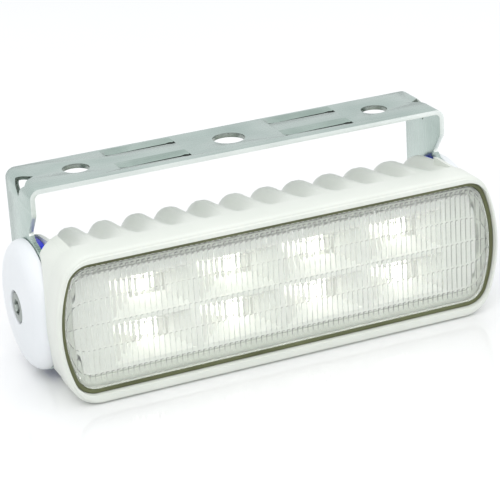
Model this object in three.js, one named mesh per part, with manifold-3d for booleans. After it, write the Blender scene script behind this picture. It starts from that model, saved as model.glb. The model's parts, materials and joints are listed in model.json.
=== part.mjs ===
/**
 * A wide LED flood light on a tilting U bracket.
 *
 * Millimetres, +Z up. The lens faces -Y and the light stands on Z = 0. Every outline below is
 * drawn about the tilt axis, which runs along X through both end caps, and the finished group
 * is then lifted by AXIS_HEIGHT. In a side outline the two numbers are Y and Z, in a front
 * outline X and Z.
 */
import * as THREE from 'three';
import { mergeVertices } from 'three/addons/utils/BufferGeometryUtils.js';
import Module from 'manifold-3d';

const wasm = await Module();
wasm.setup();

// Driving dimensions.
const AXIS_HEIGHT = 29.8;
const GAP = 0.3; // between pieces that touch
const END_RADIUS = 27.2; // bracket discs, and the round back of the housing
const SIDES = [['left', -1], ['right', 1]];

// Along X, measured outwards from the middle.
const HOUSING_END = 87;
const RING_THICKNESS = 2.4;
const ARM_INSIDE = 90;
const SHEET = 2; // bracket sheet thickness
const ARM_OUTSIDE = ARM_INSIDE + SHEET;
const CAP_RIM = ARM_OUTSIDE + GAP;
const CAP_FACE = 100.3;

// Bezel and lens. Seen from the front their ends are wide arcs about X = END_CENTRE.
const END_CENTRE = 33.3;
const BEZEL = { halfWidth: 97.2, halfHeight: 31.35, radius: 13, centreZ: 1.55, front: -42.4, back: -29.3 };
const LIP_FRONT = -43.2;
const LIP_INSET = 1.2;
const WINDOW = { halfWidth: 95.3, halfHeight: 27.6, radius: 10, centreZ: 2.1 };
const LEDGE_INSET = 5.6;
const LEDGE_FRONT = -36.6;
const LENS_FRONT = -41.4;
const LENS_FLANGE_FRONT = -39.1;
const LENS_BACK = LEDGE_FRONT - GAP;
const LENS_INSET = 2.2; // pane from window; the gasket fills most of it

// Housing.
const HOUSING_FRONT = -29;
const HOUSING_INSET = 0.7; // from the bezel's outline
const FIN_COUNT = 13;
const FIN_PITCH = 14.5;
const FIN_DEPTH = 3.9;
const FIN_WIDTH = 9.8;
const BACK_TOP_ANGLE = THREE.MathUtils.degToRad(82);
const BACK_LOW_ANGLE = THREE.MathUtils.degToRad(-50);
const CHEEK_BACK = -11.2;
const POCKET_RADIUS = END_RADIUS + 0.4;
const CAVITY = { halfWidth: 84, low: -19.5, high: 21.5, back: -21.5 };
const DRIVER_BAY_HALF_WIDTH = 80;
const BOSS_RADIUS = 11;
const BOSS_DEPTH = 17;
const GLAND_BOSS_RADIUS = 10.5;

// Rubber ring in a groove in the housing's front face, measured in from the bezel's outline.
const SEAL = { outer: 5.7, width: 1.6, back: HOUSING_FRONT + 1.2, clearance: 0.25 };

// Screws that hold the bezel, driven from the end pockets.
const BEZEL_SCREW = { x: 93.4, z: 11, head: -27.4, headRadius: 2, shank: 1.15, length: 8, bore: 1.45 };

// Pivot hardware: an M8 socket-head bolt on each side.
const BOLT_RADIUS = 4;
const BOLT_HEAD = { radius: 6.2, inner: 94.9, outer: 99.9, socket: 3.46, socketDepth: 3.8 };
const HUB_RADIUS = 7.85;
const DISC_BORE = 8;
const INSERT = { radius: 6.2, inner: 73, outer: 86.6 };

// Bracket.
const STRAP = { front: -6.4, back: 25, top: 50 };
const STRAP_MIDDLE = (STRAP.front + STRAP.back) / 2;
const BEND_RADIUS = 4.2;
const ARM_TOP = 43;
const NECK = { top: 38.8, foot: [0.2, 30.2], discY: -3 }; // where an arm narrows above its disc
const HOLES = [[-67, 5.6], [0, 6.8], [67, 5.6]]; // [x, radius]
const EYE = { reach: 4.9, halfWidth: 5.8, waist: 0.47 }; // relief slot across each bend
const GROOVE = { length: 31, width: 7.5, depth: 0.6, lead: 1.2, x: 36.5 };

// Light engine, from the lens back.
const REFLECTOR = { front: LEDGE_FRONT + GAP, back: -28.2 };
const BOARD = { halfWidth: 80, halfHeight: 19.6, front: -27, back: -25.4 };
const PAD = { front: -25.2, back: -24.7 };
const SPREADER = { front: -24.4, back: -21.8 };
const LIGHT_CENTRE_Z = (CAVITY.low + CAVITY.high) / 2;
const LED_COLUMNS = [-56.1, -18.7, 18.7, 56.1];
const LED_ROWS = [LIGHT_CENTRE_Z + 9.5, LIGHT_CENTRE_Z - 9.5];

// Driver board and cable gland.
const DRIVER = { x: 40, halfWidth: 30, halfHeight: 13, front: 7, back: 8.6 };
const GLAND = { bore: 3.4, thread: 5.8, seat: 29.2, hex: 8.4, end: 39.6, start: 15 };

// Finishes.
const WHITE = new THREE.Color('#eef0e9');
const CAP_WHITE = new THREE.Color('#f2f4f5');
const STEEL = new THREE.Color('#b4bfbd');

function finish(colour, roughness, metalness = 0) {
  return new THREE.MeshStandardMaterial({ color: colour, roughness, metalness });
}

/** A closed three.js geometry as a manifold solid. */
function solid(geometry) {
  const bare = geometry.clone();
  bare.deleteAttribute('normal');
  bare.deleteAttribute('uv');
  const welded = mergeVertices(bare, 1e-4);
  const corners = welded.index.array;
  const triangles = [];
  for (let i = 0; i < corners.length; i += 3) {
    const [a, b, c] = corners.slice(i, i + 3);
    if (a !== b && b !== c && c !== a) triangles.push(a, b, c);
  }
  const mesh = new wasm.Mesh({
    numProp: 3,
    vertProperties: new Float32Array(welded.attributes.position.array),
    triVerts: new Uint32Array(triangles),
  });
  return new wasm.Manifold(mesh);
}

function cut(body, cutters) {
  return cutters.reduce((left, cutter) => left.subtract(cutter), body);
}

function join(bodies) {
  return bodies.reduce((whole, body) => whole.add(body));
}

/** A named mesh from a manifold solid or a three.js geometry. */
function piece(name, shape, material) {
  let geometry = shape;
  if (!shape.isBufferGeometry) {
    const mesh = shape.getMesh();
    geometry = new THREE.BufferGeometry();
    geometry.setAttribute('position', new THREE.Float32BufferAttribute(mesh.vertProperties, 3));
    geometry.setIndex(new THREE.Uint32BufferAttribute(mesh.triVerts, 1));
    geometry.computeVertexNormals();
  }
  const node = new THREE.Mesh(geometry, material);
  node.name = name;
  return node;
}

function outline(points) {
  return new THREE.Shape(points.map(([u, v]) => new THREE.Vector2(u, v)));
}

function arcPoints([x, y], radius, from, to, steps) {
  return Array.from({ length: steps + 1 }, (_, step) => {
    const angle = from + ((to - from) * step) / steps;
    return new THREE.Vector2(x + radius * Math.cos(angle), y + radius * Math.sin(angle));
  });
}

/**
 * Front outline with a flat top and bottom, bulged ends and rounded corners, as a THREE.Shape
 * or, for a hole, a THREE.Path.
 */
function frontOutline({ halfWidth, halfHeight, radius, centreZ }, Kind = THREE.Shape) {
  const endRadius = halfWidth - END_CENTRE;
  const rise = halfHeight - radius;
  const turn = Math.asin(rise / (endRadius - radius));
  const cornerX = END_CENTRE + (endRadius - radius) * Math.cos(turn);
  const upper = arcPoints([cornerX, rise], radius, turn, Math.PI / 2, 4);
  const end = arcPoints([END_CENTRE, 0], endRadius, -turn, turn, 4).slice(1, -1);
  const lower = upper.map(({ x, y }) => new THREE.Vector2(x, -y)).reverse();
  const right = [...lower, ...end, ...upper];
  const left = right.map(({ x, y }) => new THREE.Vector2(-x, y)).reverse();
  return new Kind([...right, ...left].map(({ x, y }) => new THREE.Vector2(x, y + centreZ)));
}

/** The front outline of a size object, drawn in by inset all round. */
function inset(size, amount, Kind = THREE.Shape) {
  const smaller = {
    halfWidth: size.halfWidth - amount,
    halfHeight: size.halfHeight - amount,
    radius: size.radius - amount,
    centreZ: size.centreZ,
  };
  return frontOutline(smaller, Kind);
}

/** Stands a flat outline's geometry up so that its two numbers are Y and Z and its depth is X. */
function stoodAlongX(geometry) {
  const axes = new THREE.Matrix4().makeBasis(
    new THREE.Vector3(0, 1, 0),
    new THREE.Vector3(0, 0, 1),
    new THREE.Vector3(1, 0, 0),
  );
  return geometry.applyMatrix4(axes);
}

/** Extrudes a side outline (Y, Z) along X. */
function acrossX(shape, from, to, curveSegments = 6) {
  const geometry = new THREE.ExtrudeGeometry(shape, {
    depth: to - from,
    bevelEnabled: false,
    curveSegments,
  });
  return stoodAlongX(geometry).translate(from, 0, 0);
}

/** Extrudes a front outline (X, Z) from back to front along Y, with an optional front chamfer. */
function forward(shape, back, front, { chamfer = 0, curveSegments = 4 } = {}) {
  const geometry = new THREE.ExtrudeGeometry(shape, {
    depth: back - front - 2 * chamfer,
    bevelEnabled: chamfer > 0,
    bevelThickness: chamfer,
    bevelSize: chamfer,
    bevelOffset: -chamfer,
    bevelSegments: 1,
    curveSegments,
  });
  return geometry.rotateX(Math.PI / 2).translate(0, back - chamfer, 0);
}

/** Turns a profile of [radius, distance] points about the tilt axis, outwards on one side. */
function turnedAboutX(profile, side, segments = 32) {
  const points = profile.map(([radius, x]) => new THREE.Vector2(radius, x));
  return new THREE.LatheGeometry(points, segments).rotateZ(-side * Math.PI / 2);
}

/** Turns a profile of [radius, y] points about Y. */
function turnedAboutY(profile, segments = 18) {
  return new THREE.LatheGeometry(profile.map(([radius, y]) => new THREE.Vector2(radius, y)), segments);
}

function cylinderAlongY(radius, from, to, x = 0, z = 0, segments = 20) {
  const geometry = new THREE.CylinderGeometry(radius, radius, to - from, segments);
  return geometry.translate(x, (from + to) / 2, z);
}

function cylinderAlongZ(radius, from, to, x, y, segments = 24) {
  const geometry = new THREE.CylinderGeometry(radius, radius, to - from, segments);
  return geometry.rotateX(Math.PI / 2).translate(x, y, (from + to) / 2);
}

/** A box between two distances along Y. */
function slab(halfWidth, halfHeight, front, back, x = 0, z = 0) {
  const geometry = new THREE.BoxGeometry(2 * halfWidth, back - front, 2 * halfHeight);
  return geometry.translate(x, (front + back) / 2, z);
}

/** Tube profile about an axis, as [radius, distance] points that close on themselves. */
function tubeProfile(inner, outer, from, to) {
  return [[inner, from], [outer, from], [outer, to], [inner, to], [inner, from]];
}

// ---------------------------------------------------------------- bracket

/** Side outline of one arm: strap, neck at the front, and the round disc with its bore. */
function armOutline() {
  const discStart = Math.acos(NECK.discY / END_RADIUS);
  const discEnd = Math.acos(STRAP.back / END_RADIUS) + 2 * Math.PI;
  const shape = new THREE.Shape();
  shape.moveTo(STRAP.back, ARM_TOP);
  shape.lineTo(STRAP.front, ARM_TOP);
  shape.lineTo(STRAP.front, NECK.top);
  shape.lineTo(...NECK.foot);
  shape.absarc(0, 0, END_RADIUS, discStart, discEnd);
  shape.closePath();
  shape.holes.push(new THREE.Path().absarc(0, 0, DISC_BORE, 0, 2 * Math.PI));
  return shape;
}

/** Front outline of the strap with both bends, down to the top of the arms. */
function strapOutline() {
  const bendX = ARM_OUTSIDE - BEND_RADIUS;
  const bendZ = STRAP.top - BEND_RADIUS;
  const insideRadius = BEND_RADIUS - SHEET;
  const shape = new THREE.Shape();
  shape.moveTo(ARM_OUTSIDE, ARM_TOP - 1);
  shape.absarc(bendX, bendZ, BEND_RADIUS, 0, Math.PI / 2);
  shape.absarc(-bendX, bendZ, BEND_RADIUS, Math.PI / 2, Math.PI);
  shape.lineTo(-ARM_OUTSIDE, ARM_TOP - 1);
  shape.lineTo(-ARM_INSIDE, ARM_TOP - 1);
  shape.absarc(-bendX, bendZ, insideRadius, Math.PI, Math.PI / 2, true);
  shape.absarc(bendX, bendZ, insideRadius, Math.PI / 2, 0, true);
  shape.lineTo(ARM_INSIDE, ARM_TOP - 1);
  shape.closePath();
  return shape;
}

/** Cutter for the eye-shaped relief slot that runs through one bend at 45 degrees. */
function bendSlot(side) {
  const { reach, halfWidth, waist } = EYE;
  const shape = new THREE.Shape();
  shape.moveTo(reach, 0);
  shape.quadraticCurveTo(reach * waist, halfWidth * waist, 0, halfWidth);
  shape.quadraticCurveTo(-reach * waist, halfWidth * waist, -reach, 0);
  shape.quadraticCurveTo(-reach * waist, -halfWidth * waist, 0, -halfWidth);
  shape.quadraticCurveTo(reach * waist, -halfWidth * waist, reach, 0);
  const geometry = new THREE.ExtrudeGeometry(shape, { depth: 12, bevelEnabled: false, curveSegments: 3 });
  const corner = ARM_OUTSIDE - BEND_RADIUS / 2;
  return geometry
    .translate(0, 0, -6)
    .rotateY(side * Math.PI / 4)
    .translate(side * corner, STRAP_MIDDLE, STRAP.top - BEND_RADIUS / 2);
}

/**
 * The four pressed grooves. Each is deepest at its front edge and ramps up to the sheet behind
 * it, and the sheet's underside bulges by the same amount.
 */
function pressedGrooves() {
  const under = STRAP.top - SHEET;
  const fronts = [STRAP.front + 5.4, STRAP.back - 8.5];
  const places = [-GROOVE.x, GROOVE.x].flatMap((x) => fronts.map((y) => [x, y]));
  const wedge = ([x, y], lead, surface, cover) => {
    const side = outline([
      [y - lead, surface - GROOVE.depth],
      [y, surface - GROOVE.depth],
      [y + GROOVE.width, surface],
      [y + GROOVE.width, surface + cover],
      [y - lead, surface + cover],
    ]);
    return solid(acrossX(side, x - GROOVE.length / 2, x + GROOVE.length / 2));
  };
  return {
    troughs: places.map((place) => wedge(place, 0, STRAP.top, 1)),
    ribs: places.map((place) => wedge(place, GROOVE.lead, under, 0.5)),
  };
}

function mountingBracket() {
  const strap = solid(forward(strapOutline(), STRAP.back, STRAP.front));
  const arms = [
    solid(acrossX(armOutline(), ARM_INSIDE, ARM_OUTSIDE, 14)),
    solid(acrossX(armOutline(), -ARM_OUTSIDE, -ARM_INSIDE, 14)),
  ];
  const grooves = pressedGrooves();
  const holes = HOLES.map(([x, radius]) =>
    solid(cylinderAlongZ(radius, STRAP.top - 5, STRAP.top + 5, x, STRAP_MIDDLE)));
  const slots = SIDES.map(([, side]) => solid(bendSlot(side)));
  const body = cut(join([strap, ...arms, ...grooves.ribs]), [...holes, ...slots, ...grooves.troughs]);
  return piece('mounting_bracket', body, finish(STEEL, 0.35, 1));
}

// ---------------------------------------------------------------- housing and bezel

/**
 * Side outline of the housing: rim joins a straight top, the round back and a flat foot. The
 * fins use it at full size, and the core between them uses it with the fins' depth taken off.
 */
function sideOutline(depth) {
  const radius = END_RADIUS - depth;
  const rimTop = 31.4;
  const foot = -AXIS_HEIGHT + depth;
  const top = [Math.cos(BACK_TOP_ANGLE) * radius, Math.sin(BACK_TOP_ANGLE) * radius];
  const low = [Math.cos(BACK_LOW_ANGLE) * radius, Math.sin(BACK_LOW_ANGLE) * radius];
  const footEnd = low[0] + (low[1] - foot) * Math.tan(BACK_LOW_ANGLE);
  const scoop = 4 * depth;
  const shape = new THREE.Shape();
  shape.moveTo(HOUSING_FRONT, -AXIS_HEIGHT);
  if (depth > 0) shape.quadraticCurveTo(HOUSING_FRONT + scoop / 2, foot, HOUSING_FRONT + scoop, foot);
  shape.lineTo(footEnd, foot);
  shape.absarc(0, 0, radius, BACK_LOW_ANGLE, BACK_TOP_ANGLE);
  const slope = (rimTop - END_RADIUS * Math.sin(BACK_TOP_ANGLE)) / (top[0] - HOUSING_FRONT);
  const shoulder = [HOUSING_FRONT + scoop, top[1] + slope * (top[0] - HOUSING_FRONT - scoop)];
  if (depth > 0) {
    shape.lineTo(...shoulder);
    shape.quadraticCurveTo(HOUSING_FRONT + scoop / 2, shoulder[1] + 1, HOUSING_FRONT, rimTop);
  } else {
    shape.lineTo(HOUSING_FRONT, rimTop);
  }
  shape.closePath();
  return shape;
}

/** One fin: the full side outline with its edges rounded in two steps. */
function fin(index) {
  const round = FIN_DEPTH;
  const flat = FIN_WIDTH - 2 * round;
  const geometry = new THREE.ExtrudeGeometry(sideOutline(0), {
    depth: flat,
    bevelThickness: round,
    bevelSize: round,
    bevelOffset: -round,
    bevelSegments: 2,
    curveSegments: 5,
  });
  const middle = (index - (FIN_COUNT - 1) / 2) * FIN_PITCH;
  return solid(stoodAlongX(geometry).translate(middle - flat / 2, 0, 0));
}

/** The cheek behind one end of the bezel, before its round pocket is cut. */
function cheek(side) {
  const width = BEZEL.halfWidth - HOUSING_END + 4;
  const geometry = new THREE.BoxGeometry(width, CHEEK_BACK - HOUSING_FRONT, 2 * BEZEL.halfHeight);
  const x = side * (BEZEL.halfWidth - width / 2);
  return solid(geometry.translate(x, (CHEEK_BACK + HOUSING_FRONT) / 2, BEZEL.centreZ));
}

/** Round pocket that clears a bracket disc and its end cap. */
function endPocket(side) {
  const profile = [[0, HOUSING_END], [POCKET_RADIUS, HOUSING_END], [POCKET_RADIUS, 110], [0, 110]];
  return solid(turnedAboutX(profile, side, 36));
}

/** The space inside: a front tray for the light engine and a driver bay behind its ledge. */
function housingCavity() {
  const tray = outline([
    [HOUSING_FRONT - 1, CAVITY.low],
    [CAVITY.back, CAVITY.low],
    [CAVITY.back, CAVITY.high],
    [HOUSING_FRONT - 1, CAVITY.high],
  ]);
  const bay = outline([
    [CAVITY.back - 1, -15.5],
    [11, -15.5],
    [17.5, -9],
    [18.5, 0],
    [17.5, 9],
    [11, 15.5],
    [CAVITY.back - 1, 15.5],
  ]);
  const bosses = SIDES.map(([, side]) => {
    const inner = HOUSING_END - BOSS_DEPTH;
    const profile = [[0, inner], [BOSS_RADIUS, inner], [BOSS_RADIUS, HOUSING_END], [0, HOUSING_END]];
    return solid(turnedAboutX(profile, side));
  });
  const posts = driverScrewPlaces().map(([x, z]) => solid(cylinderAlongY(3, DRIVER.back + GAP, 20, x, z, 16)));
  const space = join([
    solid(acrossX(tray, -CAVITY.halfWidth, CAVITY.halfWidth)),
    solid(acrossX(bay, -DRIVER_BAY_HALF_WIDTH, DRIVER_BAY_HALF_WIDTH)),
  ]);
  return cut(space, [...bosses, ...posts]);
}

/** Holes in the housing for inserts, screws and the cable gland. */
function housingHoles() {
  const inserts = SIDES.map(([, side]) => {
    const radius = INSERT.radius + 0.2;
    const inner = INSERT.inner - GAP;
    const profile = [[0, inner], [radius, inner], [radius, HOUSING_END + 1], [0, HOUSING_END + 1]];
    return solid(turnedAboutX(profile, side, 24));
  });
  const bezelScrews = bezelScrewPlaces().flatMap(([x, z]) => [
    solid(cylinderAlongY(1.6, HOUSING_FRONT - 1, BEZEL_SCREW.head, x, z, 12)),
    solid(cylinderAlongY(2.3, BEZEL_SCREW.head - GAP, -18, x, z, 12)),
  ]);
  const spreaderScrews = spreaderScrewPlaces().map(([x, z]) =>
    solid(cylinderAlongY(1.45, CAVITY.back - 1, CAVITY.back + 5, x, z, 10)));
  const driverScrews = driverScrewPlaces().map(([x, z]) =>
    solid(cylinderAlongY(1.25, DRIVER.back, DRIVER.back + 5, x, z, 10)));
  const gland = solid(cylinderAlongY(GLAND.thread + 0.25, GLAND.start, 32));
  return [...inserts, ...bezelScrews, ...spreaderScrews, ...driverScrews, gland];
}

/** A ring that follows the bezel's outline: the body seal, or with clearance its groove. */
function sealRing(clearance, front, back) {
  const shape = inset(BEZEL, SEAL.outer - clearance);
  shape.holes.push(inset(BEZEL, SEAL.outer + SEAL.width + clearance, THREE.Path));
  return forward(shape, back, front, { curveSegments: 3 });
}

/** Front outline of the housing: the bezel's, drawn in at the top and sides but not at the foot. */
function housingOutline() {
  return frontOutline({
    halfWidth: BEZEL.halfWidth - HOUSING_INSET,
    halfHeight: BEZEL.halfHeight - HOUSING_INSET / 2,
    radius: BEZEL.radius,
    centreZ: BEZEL.centreZ - HOUSING_INSET / 2,
  });
}

function lampHousing() {
  const core = solid(acrossX(sideOutline(FIN_DEPTH), -HOUSING_END, HOUSING_END, 5));
  const fins = Array.from({ length: FIN_COUNT }, (_, index) => fin(index));
  const cheeks = SIDES.map(([, side]) => cheek(side));
  const glandBoss = solid(cylinderAlongY(GLAND_BOSS_RADIUS, GLAND.start, GLAND.seat - GAP, 0, 0, 32));
  const envelope = solid(forward(housingOutline(), 45, HOUSING_FRONT));
  const seatForSeal = solid(sealRing(SEAL.clearance, HOUSING_FRONT - 1, SEAL.back));
  const betweenEnds = solid(slab(HOUSING_END, 40, -40, 40));
  const finned = join([core, ...fins]).intersect(betweenEnds);
  const outside = join([finned, ...cheeks, glandBoss]).intersect(envelope);
  const pockets = SIDES.map(([, side]) => endPocket(side));
  const body = cut(outside, [...pockets, housingCavity(), ...housingHoles(), seatForSeal]);
  return piece('lamp_housing', body, finish(WHITE, 0.45));
}

function bezelScrewPlaces() {
  return [-1, 1].flatMap((side) => [-1, 1].map((row) => [side * BEZEL_SCREW.x, row * BEZEL_SCREW.z]));
}

function frontBezel() {
  const frame = solid(forward(inset(BEZEL, 0), BEZEL.back, BEZEL.front));
  const lip = solid(forward(inset(BEZEL, LIP_INSET), BEZEL.back, LIP_FRONT, { chamfer: 0.35 }));
  const window = solid(forward(inset(WINDOW, 0), LEDGE_FRONT, LIP_FRONT - 1));
  const behind = solid(forward(inset(WINDOW, LEDGE_INSET), BEZEL.back + 1, LEDGE_FRONT - 1));
  const boreEnd = BEZEL_SCREW.head - BEZEL_SCREW.length - 0.5;
  const screws = bezelScrewPlaces().map(([x, z]) =>
    solid(cylinderAlongY(BEZEL_SCREW.bore, boreEnd, BEZEL.back + 1, x, z, 12)));
  const body = cut(frame.add(lip), [window, behind, ...screws]);
  return piece('front_bezel', body, finish(WHITE, 0.4));
}

function bodySeal() {
  const ring = sealRing(0, BEZEL.back + GAP + 0.1, SEAL.back - GAP);
  return piece('body_seal', ring, finish('#2d2f2e', 0.9));
}

// ---------------------------------------------------------------- lens and light engine

function lens() {
  const pane = solid(forward(inset(WINDOW, LENS_INSET), LENS_BACK, LENS_FRONT, { chamfer: 0.4 }));
  const flange = solid(forward(inset(WINDOW, GAP), LENS_BACK, LENS_FLANGE_FRONT));
  return piece('lens', pane.add(flange), finish('#e9efe6', 0.08));
}

function lensGasket() {
  const shape = inset(WINDOW, 0.2);
  shape.holes.push(inset(WINDOW, LENS_INSET - GAP, THREE.Path));
  const ring = forward(shape, LENS_FLANGE_FRONT - GAP, LENS_FRONT + 0.2);
  return piece('lens_gasket', ring, finish('#3a3d2c', 0.8));
}

/** Tapered rectangular opening over one LED. */
function reflectorCell(x, z) {
  const depth = REFLECTOR.back - REFLECTOR.front + 0.4;
  const front = { halfWidth: 17.4, halfHeight: 8.6 };
  const taper = 0.42;
  const diagonal = Math.SQRT2;
  const geometry = new THREE.CylinderGeometry(diagonal * taper, diagonal, depth, 4).rotateY(Math.PI / 4);
  const middle = (REFLECTOR.front + REFLECTOR.back) / 2;
  return solid(geometry.scale(front.halfWidth, 1, front.halfHeight).translate(x, middle, z));
}

function reflector() {
  const flange = solid(forward(inset(WINDOW, LEDGE_INSET + 0.4), -30, REFLECTOR.front, { curveSegments: 2 }));
  const block = solid(slab(80, 19.6, -31, REFLECTOR.back, 0, LIGHT_CENTRE_Z));
  const cells = LED_COLUMNS.flatMap((x) => LED_ROWS.map((z) => reflectorCell(x, z)));
  return piece('reflector', cut(flange.add(block), cells), finish('#f4f6f2', 0.2, 0.3));
}

function leds() {
  const base = { half: 2.2, height: 0.5 };
  const places = LED_ROWS.flatMap((z) => LED_COLUMNS.map((x) => [x, z]));
  return places.map(([x, z], index) => {
    const seat = BOARD.front - 0.1;
    const chip = solid(slab(base.half, base.half, seat - base.height, seat, x, z));
    const domeRadius = 1.8;
    const steps = [0, 0.35, 0.7, 1].map((t) => t * Math.PI / 2);
    const profile = [
      ...steps.map((a) => [domeRadius * Math.sin(a), seat - base.height - domeRadius * Math.cos(a)]),
      [domeRadius, seat - base.height + 0.2],
      [0, seat - base.height + 0.2],
    ];
    const dome = solid(turnedAboutY(profile, 8).translate(x, 0, z));
    return piece(`led_${index + 1}`, chip.add(dome), finish('#f3e27a', 0.3));
  });
}

function ledBoard() {
  const board = slab(BOARD.halfWidth, BOARD.halfHeight, BOARD.front, BOARD.back, 0, LIGHT_CENTRE_Z);
  return piece('led_board', board, finish('#eceee8', 0.5));
}

function thermalPad() {
  const pad = slab(BOARD.halfWidth - 8, BOARD.halfHeight - 2, PAD.front, PAD.back, 0, LIGHT_CENTRE_Z);
  return piece('thermal_pad', pad, finish('#9fb0b8', 0.8));
}

/** Screws at the ends of the heat spreader, beyond the LED board. */
function spreaderScrewPlaces() {
  return [-1, 1].flatMap((side) => [-1, 1].map((row) => [side * 82, LIGHT_CENTRE_Z + row * 18.3]));
}

function heatSpreader() {
  const plate = solid(slab(83.7, 20.2, SPREADER.front, SPREADER.back, 0, LIGHT_CENTRE_Z));
  const holes = spreaderScrewPlaces().map(([x, z]) =>
    solid(cylinderAlongY(1.1, SPREADER.front - 1, SPREADER.back + 1, x, z, 8)));
  return piece('heat_spreader', cut(plate, holes), finish('#c3c8ca', 0.4, 1));
}

/** Pan-head screw along Y, its head towards -Y when direction is 1 and towards +Y when -1. */
function screw(name, [x, z], headPlane, direction, size) {
  const profile = [
    [0, -size.head],
    [size.headRadius * 0.7, -size.head],
    [size.headRadius, -size.head * 0.5],
    [size.headRadius, 0],
    [size.shank, 0],
    [size.shank, size.length],
    [0, size.length],
  ];
  const geometry = turnedAboutY(profile, 8);
  if (direction < 0) geometry.rotateX(Math.PI);
  return piece(name, geometry.translate(x, headPlane, z), finish('#c9cdcf', 0.3, 1));
}

function bezelScrews() {
  const size = { ...BEZEL_SCREW, head: 1.3 };
  return bezelScrewPlaces().map((place, index) =>
    screw(`bezel_screw_${index + 1}`, place, BEZEL_SCREW.head, -1, size));
}

function spreaderScrews() {
  const size = { head: 1.1, headRadius: 1.5, shank: 0.9, length: 6.6 };
  return spreaderScrewPlaces().map((place, index) =>
    screw(`spreader_screw_${index + 1}`, place, SPREADER.front - 0.2, 1, size));
}

// ---------------------------------------------------------------- driver

function driverScrewPlaces() {
  return [-1, 1].map((side) => [DRIVER.x + side * (DRIVER.halfWidth - 4), 0]);
}

function driver() {
  const holes = driverScrewPlaces().map(([x, z]) =>
    solid(cylinderAlongY(1.4, DRIVER.front - 1, DRIVER.back + 1, x, z, 10)));
  const plate = solid(slab(DRIVER.halfWidth, DRIVER.halfHeight, DRIVER.front, DRIVER.back, DRIVER.x));
  const board = cut(plate, holes);
  const face = DRIVER.front - GAP;
  const coil = cylinderAlongY(6, face - 7, face, DRIVER.x - 12, -2, 20);
  const capacitor = cylinderAlongY(5, face - 13, face, DRIVER.x + 3, 2, 20);
  const connector = slab(5, 8, face - 8, face, DRIVER.x + 15);
  const size = { head: 1.2, headRadius: 2.2, shank: 1.1, length: 5.5 };
  return [
    piece('driver_board', board, finish('#1f6b46', 0.6)),
    piece('driver_coil', coil, finish('#35383a', 0.6)),
    piece('driver_capacitor', capacitor, finish('#23252b', 0.4)),
    piece('supply_connector', connector, finish('#e9e9e2', 0.5)),
    ...driverScrewPlaces().map((place, index) =>
      screw(`driver_screw_${index + 1}`, place, DRIVER.front - 0.2, 1, size)),
  ];
}

// ---------------------------------------------------------------- pivots

/** Domed cap, hollow behind its rim, with a hub that carries the lamp in the bracket's bore. */
function endCap(name, side) {
  const rimRadius = 26.9;
  const recess = { radius: BOLT_HEAD.radius + 0.7, floor: BOLT_HEAD.inner - 1.3 };
  const edge = { radius: 18.6, x: CAP_RIM + 1, rise: CAP_FACE - 0.9 - CAP_RIM - 1 };
  const steps = [0, 1, 2, 3, 4].map((step) => step * Math.PI / 8);
  const round = steps.map((angle) => [
    edge.radius + (rimRadius - edge.radius) * Math.cos(angle),
    edge.x + edge.rise * Math.sin(angle),
  ]);
  const hubEnd = HOUSING_END + GAP;
  const profile = [
    [BOLT_RADIUS + 0.3, hubEnd],
    [HUB_RADIUS, hubEnd],
    [HUB_RADIUS, CAP_RIM],
    [HUB_RADIUS + 2, CAP_RIM],
    [HUB_RADIUS + 2, CAP_RIM + 3.5],
    [rimRadius - 2.6, CAP_RIM + 3],
    [rimRadius - 2.6, CAP_RIM],
    [rimRadius, CAP_RIM],
    ...round,
    [11, CAP_FACE - 0.2],
    [recess.radius + 0.4, CAP_FACE],
    [recess.radius, CAP_FACE - 0.4],
    [recess.radius, recess.floor],
    [BOLT_RADIUS + 0.3, recess.floor],
    [BOLT_RADIUS + 0.3, hubEnd],
  ];
  return piece(`${name}_end_cap`, turnedAboutX(profile, side, 28), finish(CAP_WHITE, 0.4));
}

function pivotBolt(name, side) {
  const socketFloor = BOLT_HEAD.outer - BOLT_HEAD.socketDepth;
  const profile = [
    [0, INSERT.inner + 1.5],
    [BOLT_RADIUS - 0.6, INSERT.inner + 1.5],
    [BOLT_RADIUS, INSERT.inner + 2.1],
    [BOLT_RADIUS, BOLT_HEAD.inner],
    [BOLT_HEAD.radius, BOLT_HEAD.inner],
    [BOLT_HEAD.radius, BOLT_HEAD.outer - 0.5],
    [BOLT_HEAD.radius - 0.5, BOLT_HEAD.outer],
    [0, BOLT_HEAD.outer],
  ];
  const socket = new THREE.CylinderGeometry(BOLT_HEAD.socket, BOLT_HEAD.socket, 10, 6);
  socket.translate(0, socketFloor + 5, 0).rotateZ(-side * Math.PI / 2);
  const body = solid(turnedAboutX(profile, side, 16)).subtract(solid(socket));
  return piece(`${name}_pivot_bolt`, body, finish('#9fa7a8', 0.3, 1));
}

/** A plain turned ring about the tilt axis. */
function ring(name, side, profile, material, segments) {
  return piece(name, turnedAboutX(profile, side, segments), material);
}

function pivot([name, side]) {
  const washer = tubeProfile(BOLT_RADIUS + 0.3, 6.5, BOLT_HEAD.inner - 1.1, BOLT_HEAD.inner - 0.15);
  const ringStart = HOUSING_END + GAP;
  const friction = tubeProfile(HUB_RADIUS + 0.3, 26.9, ringStart, ringStart + RING_THICKNESS);
  const insert = tubeProfile(BOLT_RADIUS + 0.15, INSERT.radius, INSERT.inner, INSERT.outer);
  return [
    endCap(name, side),
    pivotBolt(name, side),
    ring(`${name}_bolt_washer`, side, washer, finish('#b9bfc0', 0.3, 1), 16),
    ring(`${name}_friction_ring`, side, friction, finish('#1426c8', 0.45), 28),
    ring(`${name}_thread_insert`, side, insert, finish('#c9a24b', 0.35, 1), 16),
  ];
}

// ---------------------------------------------------------------- cable gland

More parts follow.
